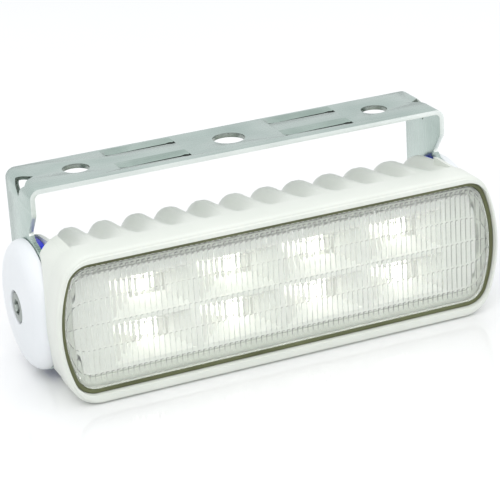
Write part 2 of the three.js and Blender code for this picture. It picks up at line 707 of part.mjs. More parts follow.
function cableGland() {
  const start = GLAND.start + 0.5;
  const flangeEnd = GLAND.seat + 3.4;
  const barrelEnd = GLAND.end - 2.4;
  const threaded = solid(turnedAboutY([
    [GLAND.bore + 0.4, start],
    [GLAND.thread, start],
    [GLAND.thread, barrelEnd],
    [GLAND.bore + 1.8, barrelEnd],
    [GLAND.bore + 1.8, barrelEnd - 3],
    [GLAND.bore + 0.4, barrelEnd - 3],
    [GLAND.bore + 0.4, start],
  ]));
  const hexOutside = new THREE.CylinderGeometry(GLAND.hex, GLAND.hex, flangeEnd - GLAND.seat, 6);
  const hexBore = cylinderAlongY(GLAND.thread - 0.5, GLAND.seat - 1, flangeEnd + 1);
  const hex = solid(hexOutside.translate(0, (GLAND.seat + flangeEnd) / 2, 0)).subtract(solid(hexBore));
  const nutStart = flangeEnd + GAP;
  const nut = turnedAboutY([
    [GLAND.thread + 0.2, nutStart],
    [GLAND.hex - 0.4, nutStart],
    [GLAND.hex - 0.4, nutStart + 3.6],
    [GLAND.thread, GLAND.end],
    [GLAND.bore + 0.3, GLAND.end],
    [GLAND.bore + 0.3, GLAND.end - 1.4],
    [GLAND.thread + 0.2, GLAND.end - 1.9],
    [GLAND.thread + 0.2, nutStart],
  ]);
  const seal = turnedAboutY(tubeProfile(GLAND.bore, GLAND.bore + 1.5, barrelEnd - 2.7, GLAND.end - 1.9));
  return [
    piece('cable_gland_body', threaded.add(hex), finish('#26282a', 0.5)),
    piece('cable_gland_nut', nut, finish('#26282a', 0.5)),
    piece('cable_gland_seal', seal, finish('#3b3d3e', 0.85)),
  ];
}

// ---------------------------------------------------------------- assembly

const lamp = new THREE.Group();
lamp.add(
  lampHousing(),
  frontBezel(),
  bodySeal(),
  lens(),
  lensGasket(),
  reflector(),
  ledBoard(),
  thermalPad(),
  heatSpreader(),
  ...leds(),
  ...bezelScrews(),
  ...spreaderScrews(),
  ...driver(),
  ...SIDES.flatMap(pivot),
  ...cableGland(),
);

const floodLight = new THREE.Group();
floodLight.add(mountingBracket(), lamp);
floodLight.position.set(0, -(LIP_FRONT + GLAND.end) / 2, AXIS_HEIGHT);
floodLight.updateMatrixWorld(true);

export default floodLight;
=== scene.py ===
"""Looks of a wide LED flood light on a tilting U bracket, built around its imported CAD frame.

Shapes are worked out in millimetres about the tilt axis, as the CAD is: X runs along the
lamp, the lens faces -Y and Z is up. place() turns them into the frame's metres.
"""
import json
import math

import bmesh
import bpy
import numpy as np
from mathutils import Matrix, Vector


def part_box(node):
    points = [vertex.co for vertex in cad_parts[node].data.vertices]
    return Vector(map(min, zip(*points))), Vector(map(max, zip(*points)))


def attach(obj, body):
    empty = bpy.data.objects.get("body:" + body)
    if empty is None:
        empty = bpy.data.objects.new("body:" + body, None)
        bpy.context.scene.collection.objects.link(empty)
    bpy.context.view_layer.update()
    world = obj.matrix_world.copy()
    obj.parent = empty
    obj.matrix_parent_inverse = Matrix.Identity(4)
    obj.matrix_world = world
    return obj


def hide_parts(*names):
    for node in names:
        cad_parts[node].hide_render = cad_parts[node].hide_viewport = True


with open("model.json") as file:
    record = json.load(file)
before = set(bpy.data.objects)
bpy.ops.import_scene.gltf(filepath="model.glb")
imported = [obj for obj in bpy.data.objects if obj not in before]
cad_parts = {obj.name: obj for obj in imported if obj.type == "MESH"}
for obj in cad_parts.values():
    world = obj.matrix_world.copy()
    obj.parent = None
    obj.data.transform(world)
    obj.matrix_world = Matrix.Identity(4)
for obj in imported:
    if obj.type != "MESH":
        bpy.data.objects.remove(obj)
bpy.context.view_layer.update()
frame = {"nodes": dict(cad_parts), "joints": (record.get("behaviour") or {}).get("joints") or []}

MM = 0.001
AXIS = np.array(frame["joints"][0]["pos_m"])
FLOOR_Z = -AXIS[2] / MM  # standing plane, below the tilt axis
SIDES = {"left": -1, "right": 1}


def cad_range(node):
    """Lowest and highest corner of a CAD node, in millimetres about the tilt axis."""
    low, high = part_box(node)
    return (np.array(low) - AXIS) / MM, (np.array(high) - AXIS) / MM


BEZEL_LOW, BEZEL_HIGH = cad_range("front_bezel")
BRACKET_HIGH = cad_range("mounting_bracket")[1]
HOUSING_LOW = cad_range("lamp_housing")[0]
LENS_LOW, LENS_HIGH = cad_range("lens")
GASKET_LOW, GASKET_HIGH = cad_range("lens_gasket")
CAP_LOW, CAP_HIGH = cad_range("right_end_cap")
RING_LOW, RING_HIGH = cad_range("right_friction_ring")
BOLT_LOW, BOLT_HIGH = cad_range("right_pivot_bolt")
NUT_LOW, NUT_HIGH = cad_range("cable_gland_nut")

# Front outlines are [half width, half height, corner radius]; their ends are arcs about END_CENTRE.
END_CENTRE = 33.3
BEZEL_MIDDLE_Z = (BEZEL_LOW[2] + BEZEL_HIGH[2]) / 2
WINDOW_MIDDLE_Z = (LENS_LOW[2] + LENS_HIGH[2]) / 2
BEZEL = np.array([BEZEL_HIGH[0], (BEZEL_HIGH[2] - BEZEL_LOW[2]) / 2, 13.0])
WINDOW = np.array([LENS_HIGH[0] + 0.3, (LENS_HIGH[2] - LENS_LOW[2]) / 2 + 0.3, 10.0])
LIP_FRONT = BEZEL_LOW[1]
LEDGE = 5.6  # how far the lens ledge stands in from the window
LEDGE_FRONT = -36.6
HOUSING_FRONT = HOUSING_LOW[1]
HOUSING_END = RING_LOW[0] - 0.3
END_RADIUS = 27.2  # bracket discs, and the round back of the housing
FIN_COUNT = 13
FIN_PITCH = 14.5
FIN_DEPTH = 3.9
SHEET = 2.0
STRAP_FRONT = -6.4
STRAP_BACK = 25.0
STRAP_TOP = BRACKET_HIGH[2]
STRAP_MIDDLE = (STRAP_FRONT + STRAP_BACK) / 2
ARM_OUTSIDE = BRACKET_HIGH[0]
BEND_RADIUS = 4.2
DISC_BORE = 8.0
CAP_FOOT = ARM_OUTSIDE + 0.3


# ---------------------------------------------------------------- mesh helpers


def place(points):
    """Millimetres about the tilt axis to metres in the frame."""
    return np.asarray(points, float).reshape(-1, 3) * MM + AXIS


def new_object(name, points, faces):
    mesh = bpy.data.meshes.new(name)
    mesh.from_pydata(place(points).tolist(), [], faces)
    tidy = bmesh.new()
    tidy.from_mesh(mesh)
    bmesh.ops.remove_doubles(tidy, verts=tidy.verts, dist=1e-7)
    bmesh.ops.dissolve_degenerate(tidy, edges=tidy.edges, dist=1e-8)
    bmesh.ops.recalc_face_normals(tidy, faces=tidy.faces)
    tidy.to_mesh(mesh)
    tidy.free()
    thing = bpy.data.objects.new(name, mesh)
    bpy.context.scene.collection.objects.link(thing)
    return thing


def loft(name, rings, closed=False, capped=False):
    """Quads between closed rings of equal length; closed joins the last ring to the first."""
    rings = [np.asarray(ring, float) for ring in rings]
    size = len(rings[0])
    count = len(rings)
    faces = []
    for i in range(count if closed else count - 1):
        a, b = i * size, (i + 1) % count * size
        for j in range(size):
            k = (j + 1) % size
            faces.append((a + j, a + k, b + k, b + j))
    if capped:
        faces.append(tuple(range(size)))
        faces.append(tuple((count - 1) * size + j for j in range(size)))
    return new_object(name, np.concatenate(rings), faces)


def turned_x(name, profile, side=1, segments=96, closed=True):
    """Turns [radius, distance] points about the tilt axis."""
    angles = np.linspace(0, 2 * math.pi, segments, endpoint=False)
    rings = [
        np.stack([np.full(segments, side * x), r * np.cos(angles), r * np.sin(angles)], 1)
        for r, x in profile
    ]
    return loft(name, rings, closed=closed)


def turned_y(name, profile, x=0.0, z=0.0, segments=64, closed=True):
    """Turns [radius, y] points about a line along Y."""
    angles = np.linspace(0, 2 * math.pi, segments, endpoint=False)
    rings = [
        np.stack([x + r * np.cos(angles), np.full(segments, y), z + r * np.sin(angles)], 1)
        for r, y in profile
    ]
    return loft(name, rings, closed=closed)


def prism(name, outline, axis, low, high):
    """A straight prism: outline holds [u, v] in X,Z for axis Y, in Y,Z for X and in X,Y for Z."""
    outline = np.asarray(outline, float)

    def at(level):
        level = np.full(len(outline), level)
        u, v = outline[:, 0], outline[:, 1]
        return np.stack({"X": (level, u, v), "Y": (u, level, v), "Z": (u, v, level)}[axis], 1)

    return loft(name, [at(low), at(high)], capped=True)


def arc(centre, radius, start, end, steps):
    """Points on an arc, angles in degrees."""
    angles = np.radians(np.linspace(start, end, steps + 1))
    return np.stack([centre[0] + radius * np.cos(angles), centre[1] + radius * np.sin(angles)], 1)


def end_shape(size):
    """Of a front outline: its end radius, corner centre [x, z], and where end meets corner."""
    half_width, half_height, radius = size
    end_radius = half_width - END_CENTRE
    rise = half_height - radius
    turn = math.degrees(math.asin(rise / (end_radius - radius)))
    corner_x = END_CENTRE + math.sqrt((end_radius - radius) ** 2 - rise ** 2)
    return end_radius, (corner_x, rise), turn


def front_outline(size, middle_z, steps=16):
    """[x, z] points of a front outline: flat top and bottom, bulged ends, rounded corners."""
    end_radius, corner, turn = end_shape(size)
    upper = arc(corner, size[2], turn, 90, steps)
    end = arc((END_CENTRE, 0), end_radius, -turn, turn, 2 * steps)[1:-1]
    right = np.concatenate([upper[::-1] * [1, -1], end, upper])
    whole = np.concatenate([right, right[::-1] * [-1, 1]])
    return whole + [0, middle_z]


def front_ring(size, y, middle_z=WINDOW_MIDDLE_Z):
    points = front_outline(size, middle_z)
    return np.stack([points[:, 0], np.full(len(points), y), points[:, 1]], 1)


def half_height_at(x, size):
    """Half the height of a front outline at X."""
    end_radius, (corner_x, rise), turn = end_shape(size)
    past = abs(x) - corner_x
    if past <= 0:
        return size[1]
    if past <= size[2] * math.cos(math.radians(turn)):
        return rise + math.sqrt(size[2] ** 2 - past ** 2)
    return math.sqrt(max(end_radius ** 2 - (abs(x) - END_CENTRE) ** 2, 0))


def rounded_path(points, radii):
    """Replaces each inner corner of a path by a curve that starts radius away from it."""
    points = np.asarray(points, float)
    result = [points[:1]]
    for before, corner, after, radius in zip(points, points[1:], points[2:], radii):
        start = corner + (before - corner) / np.linalg.norm(before - corner) * radius
        end = corner + (after - corner) / np.linalg.norm(after - corner) * radius
        t = np.linspace(0, 1, 7)[:, None]
        result.append((1 - t) ** 2 * start + 2 * t * (1 - t) * corner + t ** 2 * end)
    return np.concatenate([*result, points[-1:]])


def evaluated(thing):
    """Replaces a mesh by its result with all its modifiers applied."""
    result = bpy.data.meshes.new_from_object(
        thing.evaluated_get(bpy.context.evaluated_depsgraph_get())
    )
    thing.modifiers.clear()
    thing.data = result
    return thing


def boolean(body, others, operation):
    """Cuts others from body or joins them to it, and removes them."""
    for other in others:
        step = body.modifiers.new(other.name, "BOOLEAN")
        step.operation = operation
        step.solver = "EXACT"
        step.material_mode = "TRANSFER"
        step.object = other
    evaluated(body)
    for other in others:
        bpy.data.objects.remove(other)
    return body


def bevel(thing, width, segments=2, angle=30):
    step = thing.modifiers.new("edges", "BEVEL")
    step.width = width * MM
    step.segments = segments
    step.limit_method = "ANGLE"
    step.angle_limit = math.radians(angle)
    step.use_clamp_overlap = True
    step.miter_outer = "MITER_ARC"
    return evaluated(thing)


def smooth(thing, angle=35):
    thing.data.shade_smooth()
    thing.data.set_sharp_from_angle(angle=math.radians(angle))
    return thing


def painted(thing, look):
    thing.data.materials.clear()
    thing.data.materials.append(look)
    return thing


def finish_piece(thing, look, body, nodes):
    """Gives a piece its material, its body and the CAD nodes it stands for."""
    if look:
        painted(thing, look)
    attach(thing, body)
    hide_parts(*nodes)
    return thing


# ---------------------------------------------------------------- materials


def noise(tree, coordinates, scale, detail=3.0, roughness=0.55):
    node = tree.nodes.new("ShaderNodeTexNoise")
    node.inputs["Scale"].default_value = scale
    node.inputs["Detail"].default_value = detail
    node.inputs["Roughness"].default_value = roughness
    tree.links.new(coordinates, node.inputs["Vector"])
    return node.outputs["Fac"]


def mapped(tree, value, low, high):
    """Spreads a noise value's middle band over low to high."""
    node = tree.nodes.new("ShaderNodeMapRange")
    node.inputs["From Min"].default_value = 0.3
    node.inputs["From Max"].default_value = 0.7
    node.inputs["To Min"].default_value = low
    node.inputs["To Max"].default_value = high
    tree.links.new(value, node.inputs["Value"])
    return node.outputs["Result"]


def stretched(tree, stretch):
    """Object coordinates, in metres, scaled apart along each axis."""
    source = tree.nodes.new("ShaderNodeTexCoord")
    node = tree.nodes.new("ShaderNodeMapping")
    node.inputs["Scale"].default_value = stretch
    tree.links.new(source.outputs["Object"], node.inputs["Vector"])
    return node.outputs["Vector"]


def blended(tree, factor, first, second):
    node = tree.nodes.new("ShaderNodeMix")
    node.data_type = "RGBA"
    node.inputs["A"].default_value = (*first, 1)
    node.inputs["B"].default_value = (*second, 1)
    tree.links.new(factor, node.inputs["Factor"])
    return node.outputs["Result"]


def look(
    name,
    colour,
    second_colour,
    roughness,
    metallic=0.0,
    patch_scale=45.0,
    grain_scale=1400.0,
    grain_height=0.02,
    stretch=(1, 1, 1),
    **sockets,
):
    """A finish with slow colour and roughness patches and a fine grain in its bump."""
    made = bpy.data.materials.new(name)
    made.use_nodes = True
    tree = made.node_tree
    shader = tree.nodes["Principled BSDF"]
    shader.inputs["Metallic"].default_value = metallic
    for socket, value in sockets.items():
        shader.inputs[socket.replace("_", " ")].default_value = value
    even = stretched(tree, (1, 1, 1))
    patches = noise(tree, even, patch_scale)
    grain = noise(tree, stretched(tree, stretch), grain_scale, detail=4)
    patch_colour = blended(tree, mapped(tree, patches, 0, 1), colour, second_colour)
    tree.links.new(patch_colour, shader.inputs["Base Color"])
    rough = mapped(tree, grain, roughness[0], roughness[1])
    tree.links.new(rough, shader.inputs["Roughness"])
    bump = tree.nodes.new("ShaderNodeBump")
    bump.inputs["Strength"].default_value = 1.0
    bump.inputs["Distance"].default_value = grain_height * MM
    tree.links.new(grain, bump.inputs["Height"])
    tree.links.new(bump.outputs["Normal"], shader.inputs["Normal"])
    return made


WHITE_SHELL = look(
    "white_shell", (0.72, 0.75, 0.69), (0.76, 0.785, 0.73), (0.34, 0.46),
    grain_scale=1700, grain_height=0.012,
    Specular_IOR_Level=0.45, Coat_Weight=0.12, Coat_Roughness=0.18,
)
WHITE_CAP = look(
    "white_cap", (0.79, 0.82, 0.84), (0.83, 0.85, 0.87), (0.33, 0.45),
    grain_scale=1700, grain_height=0.012, Specular_IOR_Level=0.45, Coat_Weight=0.1, Coat_Roughness=0.2,
)
SATIN_STEEL = look(
    "satin_steel", (0.42, 0.505, 0.47), (0.58, 0.665, 0.625), (0.24, 0.32), metallic=1.0,
    patch_scale=22, grain_scale=60, grain_height=0.003, stretch=(0.5, 30, 0.5),
)
# Lighter steel for the sheet's front and back edge faces: sheared edges, partly a painted highlight.
SHEARED_AND_HIGHLIGHT_STEEL = look(
    "sheared_and_highlight_steel", (0.74, 0.79, 0.76), (0.84, 0.88, 0.85), (0.42, 0.55), metallic=1.0,
    grain_scale=900, grain_height=0.01,
)
# A darker copy of the satin steel for the groove ramps: painted shade.
PAINTED_SHADE_RAMP_STEEL = look(
    "painted_shade_ramp_steel", (0.33, 0.42, 0.375), (0.46, 0.55, 0.505), (0.24, 0.38), metallic=1.0,
    patch_scale=60, grain_scale=60, grain_height=0.006, stretch=(0.5, 30, 0.5),
)
# Near-black steel for the walls and floor of the groove slits: painted shade.
PAINTED_SHADE_STEEL = look(
    "painted_shade_steel", (0.03, 0.04, 0.034), (0.055, 0.07, 0.06), (0.55, 0.7), metallic=0.4,
)
# Dark steel of the pivot bolts; on the bracket's hole, eye and bore walls the same steel is painted shade.
BOLT_AND_HOLE_SHADE_STEEL = look(
    "bolt_and_hole_shade_steel", (0.27, 0.30, 0.28), (0.38, 0.42, 0.39), (0.25, 0.4), metallic=1.0, grain_height=0.006,
)
BLUE_NYLON = look(
    "blue_nylon", (0.012, 0.022, 0.62), (0.02, 0.035, 0.74), (0.3, 0.42),
    grain_scale=900, grain_height=0.01, Subsurface_Weight=0.05,
)
OLIVE_SEAL = look(
    "olive_seal", (0.085, 0.095, 0.036), (0.135, 0.15, 0.066), (0.45, 0.65), grain_height=0.02,
)
BLACK_RUBBER = look("black_rubber", (0.018, 0.018, 0.018), (0.03, 0.03, 0.03), (0.6, 0.8))
BLACK_NYLON = look(
    "black_nylon", (0.02, 0.021, 0.022), (0.03, 0.031, 0.033), (0.38, 0.52), grain_height=0.02,
)
REFLECTOR_WHITE = look(
    "reflector_white", (0.86, 0.87, 0.85), (0.9, 0.91, 0.89), (0.12, 0.2), grain_height=0.004,
)
BOARD_WHITE = look("board_white", (0.82, 0.83, 0.80), (0.87, 0.88, 0.85), (0.3, 0.4), grain_height=0.004)
PHOSPHOR = look(
    "phosphor", (0.90, 0.87, 0.66), (0.94, 0.92, 0.76), (0.12, 0.2), grain_height=0.003,
    Coat_Weight=0.6, Emission_Color=(1.0, 0.98, 0.9, 1.0), Emission_Strength=9.0,
)
GREY_PAD = look("grey_pad", (0.26, 0.30, 0.33), (0.32, 0.36, 0.39), (0.6, 0.8))
ALUMINIUM = look(
    "rolled_aluminium", (0.66, 0.67, 0.68), (0.73, 0.74, 0.75), (0.25, 0.4), metallic=1.0,
    grain_scale=60, stretch=(0.5, 30, 30), grain_height=0.006,
)
GREEN_BOARD = look("green_board", (0.012, 0.12, 0.055), (0.02, 0.17, 0.08), (0.25, 0.4), grain_height=0.01)
FERRITE = look("ferrite", (0.03, 0.03, 0.032), (0.05, 0.05, 0.052), (0.55, 0.75), grain_height=0.03)
SLEEVE = look(
    "capacitor_sleeve", (0.015, 0.016, 0.03), (0.025, 0.027, 0.045), (0.15, 0.25), grain_height=0.004,
)
PALE_PLASTIC = look("pale_plastic", (0.72, 0.72, 0.66), (0.78, 0.78, 0.72), (0.4, 0.55))
SCREW_STEEL = look(
    "screw_steel", (0.52, 0.54, 0.55), (0.6, 0.62, 0.63), (0.2, 0.34), metallic=1.0, grain_height=0.006,
)
BRASS = look(
    "turned_brass", (0.62, 0.44, 0.15), (0.72, 0.53, 0.2), (0.22, 0.34), metallic=1.0, grain_height=0.006,
)


def clear_lens():
    """Clear polycarbonate with a faint green body tint."""
    made = look(
        "clear_polycarbonate", (0.97, 0.99, 0.96), (0.99, 1.0, 0.985), (0.02, 0.06),
        patch_scale=30, grain_scale=300, grain_height=0.002,
        Transmission_Weight=0.92, IOR=1.49, Specular_IOR_Level=0.5,
    )
    tree = made.node_tree
    path = tree.nodes.new("ShaderNodeLightPath")
    straight = tree.nodes.new("ShaderNodeBsdfTransparent")
    straight.inputs["Color"].default_value = (0.95, 0.97, 0.93, 1)
    mix = tree.nodes.new("ShaderNodeMixShader")
    tree.links.new(path.outputs["Is Shadow Ray"], mix.inputs["Fac"])
    tree.links.new(tree.nodes["Principled BSDF"].outputs["BSDF"], mix.inputs[1])
    tree.links.new(straight.outputs["BSDF"], mix.inputs[2])
    tree.links.new(mix.outputs["Shader"], tree.nodes["Material Output"].inputs["Surface"])
    return made


CLEAR = clear_lens()


# ---------------------------------------------------------------- bracket


NECK_TOP = 38.8
NECK_FOOT = (0.2, 30.2)
LEG_END = 40.0  # where the bent strap hands over to the flat arms
HOLES = [(-67, 5.6), (0, 6.8), (67, 5.6)]  # [x, radius]


def strap_profile():
    """Front outline of the strap and its two bends."""
    x, z = ARM_OUTSIDE - BEND_RADIUS, STRAP_TOP - BEND_RADIUS
    inner = BEND_RADIUS - SHEET
    return np.concatenate([
        [[ARM_OUTSIDE, LEG_END]],
        arc((x, z), BEND_RADIUS, 0, 90, 14),
        arc((-x, z), BEND_RADIUS, 90, 180, 14),
        [[-ARM_OUTSIDE, LEG_END], [SHEET - ARM_OUTSIDE, LEG_END]],
        arc((-x, z), inner, 180, 90, 14),
        arc((x, z), inner, 90, 0, 14),
        [[ARM_OUTSIDE - SHEET, LEG_END]],
    ])


def arm_profile():
    """Side outline of an arm: straight back edge, front neck and the round disc."""
    back_angle = math.degrees(math.acos(STRAP_BACK / END_RADIUS))
    disc_start = math.degrees(math.acos(-3 / END_RADIUS))
    disc = arc((0, 0), END_RADIUS, disc_start, 360 + back_angle, 120)
    top = LEG_END + 1
    front = rounded_path([(STRAP_FRONT, top), (STRAP_FRONT, NECK_TOP), NECK_FOOT, disc[0]], [1.9, 1.4])
    return np.concatenate([[[STRAP_BACK, top]], front, disc[1:]])


def eye_cutter(side):
    """Cutter of the eye-shaped relief slot through one bend."""
    reach, half_width, waist = 4.9, 5.8, 0.47
    t = np.linspace(0, 1, 9)[:-1, None]
    tips = np.array([[reach, 0], [0, half_width], [-reach, 0], [0, -half_width]])
    points = []
    for i in range(4):
        a, b = tips[i], tips[(i + 1) % 4]
        points.append((1 - t) ** 2 * a + 2 * t * (1 - t) * (a + b) * waist + t ** 2 * b)
    eye = np.concatenate(points)
    corner = np.array([side * (ARM_OUTSIDE - BEND_RADIUS / 2), STRAP_MIDDLE, STRAP_TOP - BEND_RADIUS / 2])
    along = np.array([side, 0, -1]) / math.sqrt(2)
    through = np.array([side, 0, 1]) / math.sqrt(2)
    ring = eye[:, :1] * along + eye[:, 1:] * np.array([0, 1, 0])
    return loft("eye", [corner + ring - 6 * through, corner + ring + 6 * through], capped=True)


GROOVE_LENGTH = 31.0
GROOVE_WIDTH = 7.5
GROOVE_DEPTH = 0.6


def groove_places():
    return [(x, y) for x in (-36.5, 36.5) for y in (STRAP_FRONT + 5.4, STRAP_BACK - 8.5)]


def groove_ramp(x, y, lead, surface, cover):
    """The wedge of one pressed groove: deepest at its front edge, blending out behind and at its ends."""
    rings = []
    for along, share in ((-0.5, 0.02), (-0.42, 0.7), (-0.34, 1), (0.44, 1), (0.485, 0.8), (0.5, 0.1)):
        depth = GROOVE_DEPTH * share
        side = [
            [y - lead, surface - depth],
            [y, surface - depth],
            [y + GROOVE_WIDTH, surface],
            [y + GROOVE_WIDTH, surface + cover],
            [y - lead, surface + cover],
        ]
        rings.append([[x + GROOVE_LENGTH * along, *point] for point in side])
    return loft("groove", rings, capped=True)


def groove_slit(x, y):
    """The cut along a groove's front edge, which opens into a pit at its right end; its faces are painted
    near black as shade.
    """
    left, right = x - GROOVE_LENGTH * 0.48, x + GROOVE_LENGTH / 2
    plan = [
        (left, y),
        (x, y - 0.3),
        (right - 3.6, y - 0.4),
        (right - 1.8, y - 1.0),
        (right, y - 0.7),
        (right, y + 1.6),
        (right - 1.8, y + 2.6),
        (right - 3.6, y + 2.0),
        (x, y + 1.75),
        (left, y + 1.1),
    ]
    return prism("slit", plan, "Z", STRAP_TOP - 1.6, STRAP_TOP + 1)


def sheared_highlight_edges(body, sheared_highlight_slot):
    """Marks the faces of the strap's and arms' long edges that face front or back, down to the discs, for the
    lighter sheared steel, which is partly a painted highlight.
    """
    disc_top = AXIS[2] + (END_RADIUS + 1) * MM
    for face in body.data.polygons:
        if face.material_index == 0 and abs(face.normal.y) > 0.5 and face.center.z > disc_top:
            face.material_index = sheared_highlight_slot


def mounting_bracket():
    body = prism("mounting_bracket_visual", strap_profile(), "Y", STRAP_FRONT, STRAP_BACK)
    arms = [
        prism("arm", arm_profile(), "X", *sorted((side * ARM_OUTSIDE, side * (ARM_OUTSIDE - SHEET))))
        for side in SIDES.values()
    ]
    under = STRAP_TOP - SHEET
    ribs = [groove_ramp(x, y, 1.2, under, 0.5) for x, y in groove_places()]
    ramps = [groove_ramp(x, y, 0, STRAP_TOP, 1) for x, y in groove_places()]
    for part in (body, *arms, *ribs):
        painted(part, SATIN_STEEL)
    # the groove ramps get the darker steel copy: painted shade
    for part in ramps:
        painted(part, PAINTED_SHADE_RAMP_STEEL)
    circle = arc((0, 0), 1, 0, 360, 64)[:-1]
    holes = [
        prism("hole", circle * radius + [x, STRAP_MIDDLE], "Z", STRAP_TOP - 6, STRAP_TOP + 3)
        for x, radius in HOLES
    ]
    eyes = [eye_cutter(side) for side in SIDES.values()]
    through = CAP_HIGH[0]
    bore_profile = [[0, -through], [DISC_BORE, -through], [DISC_BORE, through], [0, through]]
    bore = turned_x("bore", bore_profile, segments=72, closed=False)
    # the hole, eye and bore walls get the dark bolt steel: painted shade inside the holes
    edges = [painted(part, BOLT_AND_HOLE_SHADE_STEEL) for part in (*holes, *eyes, bore)]
    # the slits' walls and floor get the near-black steel: painted shade in the cut
    slits = [painted(groove_slit(x, y), PAINTED_SHADE_STEEL) for x, y in groove_places()]
    boolean(body, arms + ribs, "UNION")
    boolean(body, ramps + edges + slits, "DIFFERENCE")
    bevel(body, 0.2, segments=2, angle=28)
    # lighter steel on the edges facing front or back: partly a painted highlight
    body.data.materials.append(SHEARED_AND_HIGHLIGHT_STEEL)
    sheared_highlight_edges(body, len(body.data.materials) - 1)
    smooth(body, 40)
    return finish_piece(body, None, "bracket", ["mounting_bracket"])


# ---------------------------------------------------------------- housing and bezel


def side_outline():
    """Dense side outline at fin height, from the top of the rim round the back to its foot."""
    top_angle, low_angle = 82.0, -50.0
    radius = END_RADIUS
    top = np.array([math.cos(math.radians(top_angle)), math.sin(math.radians(top_angle))]) * radius
    low = np.array([math.cos(math.radians(low_angle)), math.sin(math.radians(low_angle))]) * radius
    foot_end = low[0] + (low[1] - FLOOR_Z) * math.tan(math.radians(low_angle))
    rim_top = 31.4
    t = np.linspace(0, 1, 30)[:, None]
    start = np.array([HOUSING_FRONT, rim_top])
    top_line = start * (1 - t) + top * t
    back = arc((0, 0), radius, top_angle, low_angle, 44)[1:]
    t = np.linspace(0, 1, 7)[1:, None]
    rise = low * (1 - t) + np.array([foot_end, FLOOR_Z]) * t
    t = np.linspace(0, 1, 26)[1:, None]
    foot = np.array([foot_end, FLOOR_Z]) * (1 - t) + np.array([HOUSING_FRONT, FLOOR_Z]) * t
    return np.concatenate([top_line, back, rise, foot])


def inward_normals(points):
    ahead = np.roll(points, -1, 0) - np.roll(points, 1, 0)
    ahead[0] = points[1] - points[0]
    ahead[-1] = points[-1] - points[-2]
    for _ in range(6):
        middle = (ahead[:-2] + ahead[1:-1] * 2 + ahead[2:]) / 4
        ahead[1:-1] = middle
    ahead /= np.linalg.norm(ahead, axis=1)[:, None]
    return np.stack([ahead[:, 1], -ahead[:, 0]], 1)


def fin_weight(x):
    """1 on a fin's crest and 0 on the valley floor between two fins."""
    off = abs((x + FIN_PITCH / 2) % FIN_PITCH - FIN_PITCH / 2)
    t = np.clip((off - 1.1) / 5.0, 0, 1)
    return 1 - t * t * (3 - 2 * t)


def scoop(y):
    """Share of the valley depth at a distance behind the rim: a long gentle dip."""
    t = np.clip((y - HOUSING_FRONT - 1) / 24, 0, 1)
    return t * t * (3 - 2 * t)


CHEEK_BACK = -11.2
POCKET_RADIUS = END_RADIUS + 0.4
TRAY = {"half_width": 84, "low": -19.5, "high": 21.5, "back": -21.5}  # holds the light engine
BAY_HALF_WIDTH = 69.5  # driver bay, between the bosses of the thread inserts
GLAND_BOSS = [[0, 15], [10.5, 15], [10.5, 28.3], [9.9, 28.9], [0, 28.9]]  # [radius, y]
GLAND_HOLE = [[0, 12], [6.05, 12], [6.05, 33], [0, 33]]
INSERT_HOLE = [[0, 72.7], [6.4, 72.7], [6.4, 88], [0, 88]]  # [radius, x]
HOUSING_SIZE = BEZEL - [0.7, 0.35, 0]
HOUSING_MIDDLE_Z = BEZEL_MIDDLE_Z - 0.35


def finned_skin():
    """The finned body between the lamp's two ends."""
    points = side_outline()
    normals = inward_normals(points)
    depth = FIN_DEPTH * scoop(points[:, 0])[:, None]
    stations = np.linspace(-HOUSING_END, HOUSING_END, (FIN_COUNT - 1) * 14 + 1)
    rings = []
    for x in stations:
        ring = points + normals * depth * (1 - fin_weight(x))
        reach = half_height_at(x, HOUSING_SIZE)
        ring[:, 1] = np.clip(ring[:, 1], HOUSING_MIDDLE_Z - reach, HOUSING_MIDDLE_Z + reach)
        rings.append(np.column_stack([np.full(len(ring), x), ring]))
    return loft("lamp_housing_visual", rings, capped=True)


def cheek(side):
    """The block behind one end of the bezel, before its round pocket is cut."""
    points = front_outline(HOUSING_SIZE, HOUSING_MIDDLE_Z, steps=24)
    inner = HOUSING_END - 3
    points = points[points[:, 0] * side >= inner]
    order = np.argsort(np.arctan2(points[:, 1] - HOUSING_MIDDLE_Z, points[:, 0] * side))
    points = points[order]
    ends = [[side * inner, points[-1, 1]], [side * inner, points[0, 1]]]
    return prism("cheek", np.concatenate([points, ends]), "Y", HOUSING_FRONT, CHEEK_BACK)


def end_pocket(side):
    """Round pocket that clears a bracket disc and its end cap."""
    outer = HOUSING_END + 23
    profile = [[0, HOUSING_END], [POCKET_RADIUS, HOUSING_END], [POCKET_RADIUS, outer], [0, outer]]
    return turned_x("pocket", profile, side, segments=160, closed=False)


def cavity():
    """The space inside: a front tray for the light engine and the driver bay behind it."""
    width, low, high = TRAY["half_width"], TRAY["low"], TRAY["high"]
    front_view = [[-width, low], [width, low], [width, high], [-width, high]]
    tray = prism("tray", front_view, "Y", HOUSING_FRONT - 1, TRAY["back"])
    mouth = TRAY["back"] - 1
    side_view = [[mouth, -15.5], [11, -15.5], [17.5, -9], [18.5, 0], [17.5, 9], [11, 15.5], [mouth, 15.5]]
    bay = prism("bay", side_view, "X", -BAY_HALF_WIDTH, BAY_HALF_WIDTH)
    return [tray, bay]


def lamp_housing():
    body = finned_skin()
    boss = turned_y("boss", GLAND_BOSS, closed=False)
    boolean(body, [cheek(-1), cheek(1), boss], "UNION")
    pockets = [end_pocket(side) for side in SIDES.values()]
    gland_hole = turned_y("gland_hole", GLAND_HOLE, closed=False)
    insert_holes = [
        turned_x("insert_hole", INSERT_HOLE, side, segments=48, closed=False) for side in SIDES.values()
    ]
    boolean(body, [*pockets, *cavity(), gland_hole, *insert_holes], "DIFFERENCE")
    smooth(body, 42)
    return finish_piece(body, WHITE_SHELL, "lamp", ["lamp_housing"])


